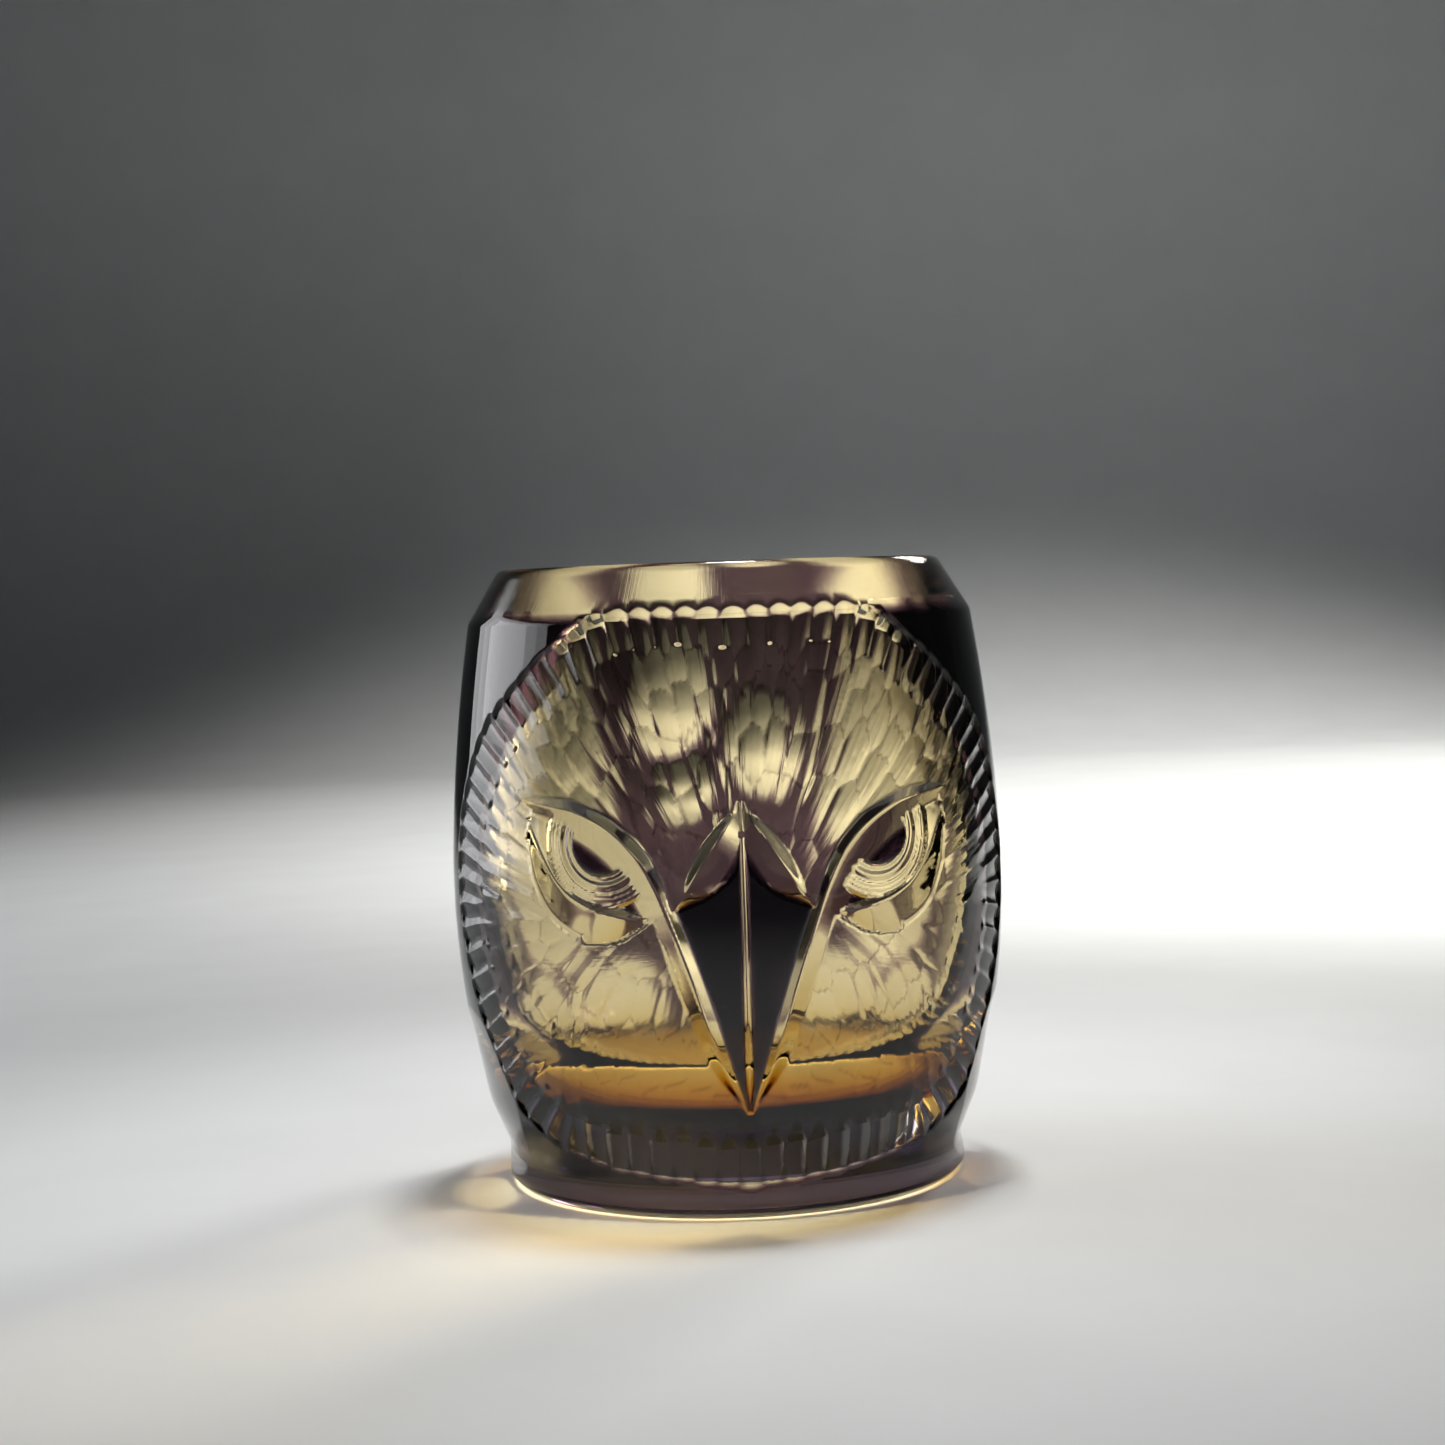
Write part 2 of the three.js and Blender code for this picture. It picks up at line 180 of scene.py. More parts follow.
# The inner rows stop at the first share of the field. Within the second the overlay is
# cut through everywhere, at least this much deeper than its thickness.
INNER_FIELD, OPEN_FIELD, OPEN_DEPTH = 0.89, 0.93, 0.06
# Tall clear panel on each side of the back, with upright flutes across it: across,
# height, half width, half height, depth.
BACK_PANEL = (90.9, 53.0, 16.0, 27.0, 1.5)
FLUTE_W, FLUTE_TALL, FLUTE_DEPTH = 2.72, 8.0, 0.12
FLUTE_LAG, FLUTE_SWAY, FLUTE_SWAY_PACE, FLUTED_SHARE = 0.37, 0.2, 5.3, 0.92
# Windows in the back, in the same order.
BACK_OVALS = [
    (-120.6, 72.3, 7.6, 9.2, 1.6), (119.3, 63.3, 6.3, 8.0, 1.6), (-123.4, 55.7, 4.2, 5.2, 1.6),
]

# Kinds of ground surface, and the value on the edge of the overlay.
GRAIN_EDGE, GRAIN_FEATHER, GRAIN_BEVEL, GRAIN_MATCH = 0.5, 1.0, 2.0, 0.45

# Pieces of overlay by their place, in unrolled millimetres.
CASING_WIDTH = 60
BEAK_TALL, BEAK_MID = 25, 12
PUPIL_MID, PUPIL_LEVEL, PUPIL_WIDTH = (15, 27), (48.3, 57.3), 3
CORNER_MID, CORNER_LEVEL = (11, 20), (41.3, 49.3)

# Steps of the grid on the face and round the back.
FINE = 0.3
COARSE = 0.8
FACE_HALF = 66.0
BEVEL_STEPS = 8
LINING_SIDES = 192
SMALL = 1e-6


def along(table, x):
    """Straight lines through the table's points."""
    return np.interp(x, [p[0] for p in table], [p[1] for p in table])


def smooth_along(table, x):
    """Cubic curve through the table's points, with slopes from their neighbours."""
    tx = np.array([p[0] for p in table])
    ty = np.array([p[1] for p in table])
    slope = np.gradient(ty, tx)
    i = np.clip(np.searchsorted(tx, x) - 1, 0, len(tx) - 2)
    run = tx[i + 1] - tx[i]
    t = (x - tx[i]) / run
    a = ty[i] * (1 + 2 * t) * (1 - t) ** 2 + ty[i + 1] * t * t * (3 - 2 * t)
    b = slope[i] * run * t * (1 - t) ** 2 - slope[i + 1] * run * t * t * (1 - t)
    return a + b


def side_radius(z):
    """Radius of the barrel before any cut."""
    return np.minimum(smooth_along(SIDE, z), WIDEST_R - WIDEST_MARGIN)


def resample(points, count):
    """Catmull-Rom curve through rows of numbers."""
    p = np.array(points, float)
    p = np.vstack([2 * p[0] - p[1], p, 2 * p[-1] - p[-2]])
    spans = len(points) - 1
    u = np.linspace(0, spans - 1e-9, count)
    i = u.astype(int)
    t = (u - i)[:, None]
    a, b, c, d = p[i], p[i + 1], p[i + 2], p[i + 3]
    return 0.5 * (
        2 * b + (c - a) * t + (2 * a - 5 * b + 4 * c - d) * t ** 2
        + (3 * b - a - 3 * c + d) * t ** 3
    )


# ------------------------------------------------------------------ depth of the cutting
def stretches():
    """Steps round the barrel, fine on the face and coarse round the back."""
    front = np.arange(-FACE_HALF, FACE_HALF + SMALL, FINE)
    back_count = int((FULL_TURN - 2 * FACE_HALF) / COARSE)
    back = FACE_HALF + np.arange(1, back_count) * (FULL_TURN - 2 * FACE_HALF) / back_count
    return np.concatenate([front, back])


def heights():
    """Levels of the grid, from the foot to the inner end of the bevel."""
    body = np.arange(FOOT_TOP_Z, BEVEL_Z - FINE / 2, FINE)
    bevel = np.linspace(BEVEL_Z, BEVEL[1][0], BEVEL_STEPS)
    return np.concatenate([FOOT_LEVELS, body, bevel, [z for z, _ in BEVEL[2:]]])


def nearest(path, S, Z, reach):
    """Distance, side and position along the path for the points near it."""
    lo = path[:, :2].min(0) - reach
    hi = path[:, :2].max(0) + reach
    idx = np.nonzero((S > lo[0]) & (S < hi[0]) & (Z > lo[1]) & (Z < hi[1]))
    pts = np.stack([S[idx], Z[idx]], 1)
    best = np.full(len(pts), np.inf)
    side = np.zeros(len(pts))
    where = np.zeros(len(pts))
    for k in range(len(path) - 1):
        a, b = path[k, :2], path[k + 1, :2]
        d = b - a
        rel = pts - a
        t = np.clip((rel @ d) / (d @ d), 0, 1)
        off = rel - t[:, None] * d
        dist = np.hypot(off[:, 0], off[:, 1])
        closer = dist < best
        best = np.where(closer, dist, best)
        cross = d[0] * rel[:, 1] - d[1] * rel[:, 0]
        side = np.where(closer, np.sign(cross), side)
        where = np.where(closer, k + t, where)
    return idx, best, side, where


def groove(D, S, Z, points, mirror=1):
    """Mitre groove along a curve, added to the depths."""
    path = resample(points, PATH_POINTS)
    path[:, 0] *= mirror
    idx, dist, side, where = nearest(path, S, Z, GROOVE_REACH)
    row = np.arange(len(path))
    half, deep, inner, outer = (np.interp(where, row, path[:, c]) for c in (2, 3, 4, 5))
    base = np.where(side * mirror < 0, inner, outer)
    cut = deep - (deep - base) * dist / np.maximum(half, LEAST_WIDTH)
    cut = np.where(dist < half * GROOVE_SPREAD, cut, 0)
    D[idx] = np.maximum(D[idx], cut)


def lid(D, S, Z, mirror):
    """Lower lid: a groove with a narrow upper and a wide lower flank."""
    path = resample(LID, PATH_POINTS)
    path[:, 0] *= mirror
    idx, dist, side, where = nearest(path, S, Z, LID_REACH)
    row = np.arange(len(path))
    above, below, deep = (np.interp(where, row, path[:, c]) for c in (2, 3, 4))
    is_below = side * mirror > 0
    width = np.maximum(np.where(is_below, below, above), LEAST_WIDTH)
    base = np.where(is_below, LID_BELOW, LID_ABOVE)
    cut = deep - (deep - base) * dist / width
    cut = np.where(dist < width * LID_SPREAD, cut, 0)
    D[idx] = np.maximum(D[idx], cut)


def inside(S, Z, outline):
    """True for points inside a closed outline."""
    hit = np.zeros(S.shape, bool)
    for (x0, y0), (x1, y1) in zip(outline, outline[1:] + outline[:1]):
        if y0 == y1:
            continue
        crosses = (y0 > Z) != (y1 > Z)
        hit ^= crosses & (S < (x1 - x0) * (Z - y0) / (y1 - y0) + x0)
    return hit


def mirrored(outline, mirror):
    return [(x * mirror, y) for x, y in outline]


def curve_xy(points, count=40):
    """Across and height of points along a curve."""
    return [tuple(p[:2]) for p in resample(points, count)]


def brow_over_eye():
    return [p for p in curve_xy(BROW) if EYE_CORNER_Z < p[1] and p[0] < BROW_END]


def keep_out(S, Z):
    """Where no feather is cut: the beak, and the eye under its brow."""
    low_brow = [p for p in curve_xy(BROW) if p[1] < BEAK_TOP_Z]
    beak = curve_xy(LEAF, LEAF_POINTS) + low_brow + [BEAK_TIP]
    eye = brow_over_eye() + LID_EDGE[::-1]
    blocked = np.zeros(S.shape, bool)
    for mirror in (1, -1):
        blocked |= inside(S, Z, mirrored(beak, mirror))
        blocked |= inside(S, Z, mirrored(eye, mirror))
    return blocked


def field_outline(scale=1.0, low_scale=None):
    """Outline of the feathered field, shrunk about its focus, differently below it."""
    half = resample(FIELD, 120)[:, :2]
    whole = np.vstack([half, half[::-1][1:-1] * [-1, 1]]) - FIELD_FOCUS
    low = np.where(whole[:, 1] < 0, low_scale or scale, scale)
    return whole * np.stack([np.full(len(low), scale), low], 1) + FIELD_FOCUS


def feather_turn(x, z, jitter):
    """Direction in which a feather points."""
    middle = FIELD_FOCUS[1]
    focus_z = middle - FOCUS_DOWN if z > middle else middle + FOCUS_UP
    ang = math.atan2(z - focus_z, x) + jitter
    if z < middle and abs(x) < HANG_HALF:
        down = min(1.0, (middle - z) / HANG_DROP)
        ang = ang * (1 - HANG_SHARE * down) + (-math.pi / 2) * HANG_SHARE * down
    return ang


def feathers(S, Z, blocked, s_axis, z_axis):
    """Depth of the feather cuts, and how close each point is to a crest between two."""
    rng = random.Random(11)
    within = inside(S, Z, [tuple(p) for p in field_outline(INNER_FIELD)])
    cut_field = np.zeros(S.shape)
    runner_up = np.zeros(S.shape)
    for row in range(FEATHER_ROWS):
        loop = field_outline(1 - row * ROW_PITCH, max(1 - row * LOW_ROW_PITCH, SMALLEST_ROW))
        loop = np.vstack([loop, loop[:1]])
        step = np.hypot(*np.diff(loop, axis=0).T)
        run = np.concatenate([[0], np.cumsum(step)])
        count = max(int(round(run[-1] / FEATHER_W)), FEWEST_FEATHERS)
        roundness = FEATHER_ROUND if row else OUTER_ROUND
        for k in range(count):
            at = (k + 0.5 * (row % 2)) / count * run[-1]
            x = np.interp(at, run, loop[:, 0]) + rng.uniform(-JITTER_S, JITTER_S)
            z = np.interp(at, run, loop[:, 1]) + rng.uniform(-JITTER_Z, JITTER_Z)
            ang = feather_turn(x, z, rng.uniform(-JITTER_TURN, JITTER_TURN))
            deep = FEATHER_DEPTH + rng.uniform(-JITTER_DEPTH, JITTER_DEPTH)
            deep = deep + (0 if row else OUTER_LEAD)
            steady = 1.0 if z > FIELD_FOCUS[1] else LOW_JITTER_SHARE
            if row:
                slide = rng.uniform(-JITTER_SLIDE, JITTER_SLIDE) * steady
                x, z = x + slide * math.cos(ang), z + slide * math.sin(ang)
            j = np.nonzero((s_axis > x - FEATHER_REACH) & (s_axis < x + FEATHER_REACH))[0]
            i = np.nonzero((z_axis > z - FEATHER_REACH) & (z_axis < z + FEATHER_REACH))[0]
            if not len(j) or not len(i):
                continue
            box = np.ix_(i, j)
            dx, dz = S[box] - x, Z[box] - z
            u = dx * math.cos(ang) + dz * math.sin(ang)
            v = -dx * math.sin(ang) + dz * math.cos(ang)
            across_edge = np.minimum(np.abs(v) / (FEATHER_W / 2), EDGE_LIMIT) ** EDGE_POWER
            cut = deep - (u / FEATHER_LONG) ** 2 - roundness * v ** 2
            cut = cut - FEATHER_EDGE * across_edge
            sway, nod = (rng.uniform(-1, 1) * FEATHER_TILT * steady for _ in range(2))
            cut = cut + sway * v + nod * u
            phase = rng.uniform(0, STREAK_PHASES)
            cut = cut + STREAK_DEPTH * np.sin(STREAK_PACE * v + phase)
            if row == 0:
                run_out = TOP_RUN if z > TOP_ROW_Z else OUTER_RUN
                left = np.minimum((OUTER_TIP - u) / run_out, 1)
                fall = np.where(left > 0, (deep - OVERLAY_T) * left, OUTER_RUN * left)
                cut = np.minimum(cut, OVERLAY_T + fall - OUTER_ROUND * v ** 2)
            else:
                cut = np.where(within[box], cut, 0)
            runner_up[box] = np.maximum(runner_up[box], np.minimum(cut_field[box], cut))
            cut_field[box] = np.maximum(cut_field[box], cut)
    is_open = inside(S, Z, [tuple(p) for p in field_outline(OPEN_FIELD)])
    cut_field = np.where(is_open, np.maximum(cut_field, OVERLAY_T + OPEN_DEPTH), cut_field)
    cut_field = np.where(blocked, 0, cut_field)
    crest = np.clip(1 - (cut_field - runner_up) / CREST_DROP, 0, 1)
    return cut_field, np.where(blocked, 0, crest)


def iris(D, S, Z, mirror):
    """Rings round the pupil, and the outer corner of the eye."""
    r = np.hypot(S - EYE[0] * mirror, Z - EYE[1])
    under_brow = inside(S, Z, mirrored(brow_over_eye() + EYE_BELOW, mirror))
    cut = np.where(under_brow & (r < IRIS[-1][0]), along(IRIS, r), 0)
    outer = under_brow & (r > OUTER_CORNER_R) & (np.abs(S) > OUTER_CORNER_S)
    cut = np.where(outer, OUTER_CORNER_DEPTH, cut)
    return np.maximum(D, cut)


def ovals(D, S, Z):
    """Shallow ovals low on the sides, and the windows in the back."""
    low = [math.radians(turn) * UNROLL_R for turn in LOW_OVAL_ANGLES_DEG]
    low_ovals = [(across * mirror, *LOW_OVAL) for across in low for mirror in (1, -1)]
    for across, height, half_w, half_h, deep in low_ovals + BACK_OVALS:
        gap = np.abs(S - across % FULL_TURN)
        gap = np.minimum(gap, FULL_TURN - gap)
        q = (gap / half_w) ** 2 + ((Z - height) / half_h) ** 2
        D = np.maximum(D, OVERLAY_T + (deep - OVERLAY_T) * (1 - q))
    return D


def back_panels(D, near, Z):
    """Tall clear panels with flutes that are broken up along their length."""
    across, height, half_w, half_h, deep = BACK_PANEL
    q = ((np.abs(near) - across) / half_w) ** 2 + ((Z - height) / half_h) ** 2
    column = np.floor(near / FLUTE_W)
    from_mid = near / FLUTE_W - column - 0.5
    along_flute = Z / FLUTE_TALL + FLUTE_LAG * column + FLUTE_SWAY * np.sin(FLUTE_SWAY_PACE * column)
    along_flute = along_flute - np.floor(along_flute) - 0.5
    flute = FLUTE_DEPTH * (1 - 4 * from_mid ** 2) * (1 - 2 * along_flute ** 2)
    return np.maximum(D, OVERLAY_T + (deep - OVERLAY_T) * (1 - q) + flute * (q < FLUTED_SHARE))


def bevel_and_foot(D, Z):
    """Cuts of the bevel at the rim and the chamfer of the foot."""
    side = side_radius(Z)
    D = np.maximum(D, np.where(Z >= BEVEL_Z, side - along(BEVEL, Z), 0))
    return np.maximum(D, np.where(Z <= FOOT_TOP_Z, side - along(FOOT_CHAMFER, Z), 0))


def cut_depths():
    """The unrolled grid, with the depth of the cutting and the kind of surface on it."""
    s_axis, z_axis = stretches(), heights()
    S, Z = np.meshgrid(s_axis, z_axis)
    near = np.where(S > FULL_TURN / 2, S - FULL_TURN, S)
    field, crest = feathers(near, Z, keep_out(near, Z), near[0], z_axis)
    D = field
    for mirror in (1, -1):
        D = iris(D, near, Z, mirror)
        groove(D, near, Z, LEAF, mirror)
        lid(D, near, Z, mirror)
        groove(D, near, Z, BROW, mirror)
    groove(D, near, Z, RIDGE)
    deeper = D > field + SMALL
    grain = np.where((field > OVERLAY_T) & ~deeper, GRAIN_FEATHER, 0.0)
    crest = np.where(deeper | (D < OVERLAY_T), 0, crest)
    D = bevel_and_foot(back_panels(ovals(D, S, Z), near, Z), Z)
    grain = np.where(Z > BEVEL_Z, GRAIN_BEVEL, grain)
    crest = np.where(Z > BEVEL_Z, 0, crest)
    return s_axis, z_axis, S, Z, D, grain, crest


# ------------------------------------------------------------------ meshes
LEAST_OFFSET = 1e-4
NEAR_END, FAR_END = 0.06, 0.94


def place(s, z, r):
    """Points in metres from unrolled places."""
    a = s / UNROLL_R
    return np.stack([r * np.sin(a), -r * np.cos(a), z], -1) * MM


def marched(s_axis, z_axis, D):
    """Splits the unrolled grid along the edge of the overlay. Returns points and faces."""
    rows, cols = D.shape
    f = D - OVERLAY_T
    f = np.where(np.abs(f) < LEAST_OFFSET, LEAST_OFFSET, f)
    cut = f > 0
    ids = np.arange(rows * cols).reshape(rows, cols)
    nxt = (np.arange(cols) + 1) % cols
    s_next = np.append(s_axis[1:], s_axis[0] + FULL_TURN)
    extra, cross_h, cross_v = [], {}, {}
    base = rows * cols

    def between(a, b):
        return min(max(a / (a - b), NEAR_END), FAR_END)

    for i, j in zip(*np.nonzero(cut != cut[:, nxt])):
        t = between(f[i, j], f[i, nxt[j]])
        cross_h[(i, j)] = base + len(extra)
        extra.append((s_axis[j] + t * (s_next[j] - s_axis[j]), z_axis[i]))
    for i, j in zip(*np.nonzero(cut[:-1] != cut[1:])):
        t = between(f[i, j], f[i + 1, j])
        cross_v[(i, j)] = base + len(extra)
        extra.append((s_axis[j], z_axis[i] + t * (z_axis[i + 1] - z_axis[i])))

    c = [ids[:-1], ids[:-1][:, nxt], ids[1:][:, nxt], ids[1:]]
    k = [cut[:-1], cut[:-1][:, nxt], cut[1:][:, nxt], cut[1:]]
    total = k[0].astype(int) + k[1] + k[2] + k[3]
    quads = np.stack(c, -1)
    open_faces = quads[total == 4].tolist()
    bond_faces = quads[total == 0].tolist()
    for i, j in zip(*np.nonzero((total > 0) & (total < 4))):
        corner = [q[i, j] for q in c]
        state = [q[i, j] for q in k]
        edge = [
            cross_h.get((i, j)), cross_v.get((i, nxt[j])),
            cross_h.get((i + 1, j)), cross_v.get((i, j)),
        ]
        saddle = state[0] == state[2] and state[1] == state[3]
        for want, out in ((True, open_faces), (False, bond_faces)):
            if saddle and not want:
                for m in range(4):
                    if state[m] == want:
                        out.append([edge[m - 1], corner[m], edge[m]])
                continue
            poly = []
            for m in range(4):
                if state[m] == want:
                    poly.append(corner[m])
                if state[m] != state[(m + 1) % 4]:
                    poly.append(edge[m])
            out.append(poly)
    return cut, np.array(extra).reshape(-1, 2), open_faces, bond_faces


def cavity(offset, extra=0.0, corner_steps=14, wall_steps=40):
    """Radius and height of the cup's inside, grown outwards, and more so at the floor."""
    end = math.radians(CAVITY_CORNER_END)
    a = np.linspace(-math.pi / 2, end, corner_steps)
    r = CAVITY_CORNER_R + offset + extra * np.sin(a) ** 4
    corner_r = CAVITY_FLOOR_R + r * np.cos(a)
    corner_z = CAVITY_FLOOR_Z + CAVITY_CORNER_R + r * np.sin(a)
    wall_table = [(corner_z[-1], corner_r[-1] - offset)] + CAVITY_WALL
    z = np.linspace(corner_z[-1], LINING_TOP_Z, wall_steps)[1:]
    wall = np.stack([smooth_along(wall_table, z) + offset, z], 1)
    return np.vstack([np.stack([corner_r, corner_z], 1), wall])


def make_mesh(name, verts, faces, floats=None, sharp=None):
    """Object with its attributes and sharp edges."""
    mesh = bpy.data.meshes.new(name)
    mesh.from_pydata(verts.tolist(), [], faces)
    mesh.update()
    for key, (domain, values) in (floats or {}).items():
        layer = mesh.attributes.new(key, "FLOAT", domain)
        layer.data.foreach_set("value", np.asarray(values, np.float32))
    mesh.shade_smooth()
    if sharp is not None:
        ends = np.zeros(len(mesh.edges) * 2, int)
        mesh.edges.foreach_get("vertices", ends)
        ends = ends.reshape(-1, 2)
        layer = mesh.attributes.new("sharp_edge", "BOOLEAN", "EDGE")
        layer.data.foreach_set("value", sharp(ends))
    obj = bpy.data.objects.new(name, mesh)
    bpy.context.collection.objects.link(obj)
    return obj


def build_crystal(s_axis, z_axis, S, Z, D, grain, crest, march):
    """Crystal body: cut outside, rim, bonded inside of the cup and underside."""
    cut, extra, open_faces, bond_faces = march
    rows, cols = D.shape
    side = side_radius(Z)
    r = np.where(cut, side - D, side - OVERLAY_T - BOND_GAP)
    pts = [place(S.ravel(), Z.ravel(), r.ravel())]
    pts.append(place(extra[:, 0], extra[:, 1], side_radius(extra[:, 1]) - OVERLAY_T))
    grains = [grain.ravel(), np.ones(len(extra)) * GRAIN_EDGE]
    inner = cavity(LINING_T + BOND_GAP, LINING_FLOOR_EXTRA)[::-1]
    start = sum(len(p) for p in pts)
    rings = [np.arange(cols) + (rows - 1) * cols]
    for q, (radius, z) in enumerate(RIM + [tuple(p) for p in inner]):
        pts.append(place(s_axis, np.full(cols, z), np.full(cols, radius)))
        rings.append(start + q * cols + np.arange(cols))
        grains.append(np.zeros(cols))
    faces = open_faces + bond_faces
    bonded = [0.0] * len(open_faces) + [1.0] * len(bond_faces)
    for q in range(len(rings) - 1):
        a, b = rings[q], rings[q + 1]
        an, bn = np.roll(a, -1), np.roll(b, -1)
        faces += np.stack([a, an, bn, b], 1).tolist()
        bonded += [0.0 if q < len(RIM) else 1.0] * cols
    start = sum(len(p) for p in pts)
    floor_z = CAVITY_FLOOR_Z - LINING_T - LINING_FLOOR_EXTRA - BOND_GAP
    pts.append(np.array([[0, 0, floor_z * MM]]))
    last = rings[-1]
    faces += np.stack([last, np.roll(last, -1), np.full(cols, start)], 1).tolist()
    bonded += [1.0] * cols
    grains.append(np.zeros(1))
    prev = np.arange(cols)
    start += 1
    for q, (radius, z) in enumerate(UNDERSIDE):
        pts.append(place(s_axis, np.full(cols, z), np.full(cols, radius)))
        ring = start + q * cols + np.arange(cols)
        faces += np.stack([prev, ring, np.roll(ring, -1), np.roll(prev, -1)], 1).tolist()
        bonded += [0.0] * cols
        grains.append(np.zeros(cols))
        prev = ring
    centre = start + len(UNDERSIDE) * cols
    pts.append(np.array([[0, 0, 0]]))
    grains.append(np.zeros(1))
    faces += np.stack([prev, np.full(cols, centre), np.roll(prev, -1)], 1).tolist()
    bonded += [0.0] * cols
    base, total_extra = rows * cols, len(extra)
    crests = np.zeros(centre + 1)
    crests[:base] = crest.ravel()
    bevel_row = int(np.argmin(np.abs(z_axis - BEVEL_Z)))
    creases = (0, bevel_row, rows - 1)

    def sharp(ends):
        is_extra = (ends >= base) & (ends < base + total_extra)
        flags = is_extra.all(1)
        row = ends // cols
        for crease in creases:
            flags |= ((row == crease) & (ends < base)).all(1)
        return flags

    return make_mesh(
        "crystal_body_glass", np.vstack(pts), faces,
        {
            "bonded": ("FACE", bonded),
            "grain": ("POINT", np.concatenate(grains)),
            "crest": ("POINT", crests),
        },
        sharp,
    )


def components(faces, count):
    """Groups of faces that share points."""
    parent = list(range(count))

    def find(a):
        while parent[a] != a:
            parent[a] = parent[parent[a]]
            a = parent[a]
        return a

    for face in faces:
        root = find(face[0])
        for v in face[1:]:
            other = find(v)
            if other != root:
                parent[other] = root
    groups = {}
    for face in faces:
        groups.setdefault(find(face[0]), []).append(face)
    return list(groups.values())


def overlay_name(s, z):
    """Which piece a patch of overlay belongs to."""
    width, tall = np.ptp(s), np.ptp(z)
    mid, level = abs(s.mean()), z.mean()
    hand = "right" if s.mean() > 0 else "left"
    if width > CASING_WIDTH:
        return "overlay_casing"
    if tall > BEAK_TALL and mid < BEAK_MID:
        return "overlay_beak_" + hand
    is_pupil = PUPIL_MID[0] < mid < PUPIL_MID[1] and PUPIL_LEVEL[0] < level < PUPIL_LEVEL[1]
    if is_pupil and width > PUPIL_WIDTH:
        return "overlay_pupil_" + hand
    if CORNER_MID[0] < mid < CORNER_MID[1] and CORNER_LEVEL[0] < level < CORNER_LEVEL[1]:
        return "overlay_eye_corner_" + hand
    return "overlay_casing"


def build_overlay(S, Z, D, march):
    """Pieces of overlay by name, each with an outer face and a bonded inner one."""
    extra, bond_faces = march[1], march[3]
    side = side_radius(Z)
    grid = S.size
    flat_s = np.concatenate([S.ravel(), extra[:, 0]])
    flat_z = np.concatenate([Z.ravel(), extra[:, 1]])
    outer_r = np.concatenate([(side - D).ravel(), side_radius(extra[:, 1]) - OVERLAY_T])
    inner_r = side_radius(flat_z) - OVERLAY_T
    named = {}
    for group in components(bond_faces, grid + len(extra)):
        used = np.unique(np.concatenate([np.array(f) for f in group]))
        s = flat_s[used]
        s = np.where(s > FULL_TURN / 2, s - FULL_TURN, s)
        named.setdefault(overlay_name(s, flat_z[used]), []).extend(group)
    pieces = {}
    for name, group in named.items():
        used = np.unique(np.concatenate([np.array(f) for f in group]))
        inner_used = used[used < grid]
        slot = {int(v): n for n, v in enumerate(used)}
        inner_slot = {int(v): len(used) + n for n, v in enumerate(inner_used)}
        pts = np.vstack([
            place(flat_s[used], flat_z[used], outer_r[used]),
            place(flat_s[inner_used], flat_z[inner_used], inner_r[inner_used]),
        ])
        faces = [[slot[v] for v in f] for f in group]
        faces += [[inner_slot.get(v, slot[v]) for v in reversed(f)] for f in group]
        bonded = [0.0] * len(group) + [1.0] * len(group)
        edge_ids = np.array([slot[int(v)] for v in used if v >= grid])
        is_edge = np.zeros(len(pts), bool)
        is_edge[edge_ids] = True
        pieces[name] = make_mesh(
            name + "_glass", pts, faces, {"bonded": ("FACE", bonded)},
            lambda ends, mask=is_edge: mask[ends].all(1),
        )
    return pieces


def build_lining():
    """Amber lining: the inside of the cup, a lip and a bonded outside."""
    cols = LINING_SIDES
    inner = cavity(0.0)
    outer = cavity(LINING_T, LINING_FLOOR_EXTRA)
    under_z = CAVITY_FLOOR_Z - LINING_T - LINING_FLOOR_EXTRA
    profile = [(0.0, CAVITY_FLOOR_Z)] + [tuple(p) for p in inner] + LINING_LIP
    profile += [tuple(p) for p in outer[::-1]] + [(0.0, under_z)]
    around = np.linspace(0, FULL_TURN, cols, endpoint=False)
    pts = [np.array([[0, 0, profile[0][1] * MM]])]
    for radius, z in profile[1:-1]:
        pts.append(place(around, np.full(cols, z), np.full(cols, radius)))
    pts.append(np.array([[0, 0, profile[-1][1] * MM]]))
    faces, bonded = [], []
    ring = [1 + q * cols + np.arange(cols) for q in range(len(profile) - 2)]
    n_inner = len(inner) + len(LINING_LIP)
    top = ring[0]
    faces += np.stack([np.zeros(cols, int), top, np.roll(top, -1)], 1).tolist()
    bonded += [0.0] * cols
    for q in range(len(ring) - 1):
        a, b = ring[q], ring[q + 1]
        faces += np.stack([a, b, np.roll(b, -1), np.roll(a, -1)], 1).tolist()
        bonded += [0.0 if q < n_inner - 1 else 1.0] * cols
    a = ring[-1]
    end = 1 + len(ring) * cols
    faces += np.stack([a, np.full(cols, end), np.roll(a, -1)], 1).tolist()
    bonded += [1.0] * cols
    return make_mesh("amber_lining_glass", np.vstack(pts), faces, {"bonded": ("FACE", bonded)})


# ------------------------------------------------------------------ materials
GLASS_IOR = 1.52
BUMP_HEIGHT = 0.000025
GROUND_BUMP, POLISHED_BUMP = 0.6, 0.12
WEAR_PACE, RIPPLE_PACE = 90.0, 140.0
# Streaks of the feathers against angle and distance, scratches of the bevel against
# across and height.
STREAK_STEPS, SCRATCH_STEPS = (95.0, 0.16), (5.0, 0.10)
GROUND_HAZE = 0.03
# Crests between feathers get a darker base colour from this start on: painted shade for the dark
# lines that refraction makes along them.
CREST_START, CREST_PAINTED_SHADE = 0.5, (0.45, 0.4, 0.42, 1)
FACE_MIDDLE_Z = FIELD_FOCUS[1] - 4.0


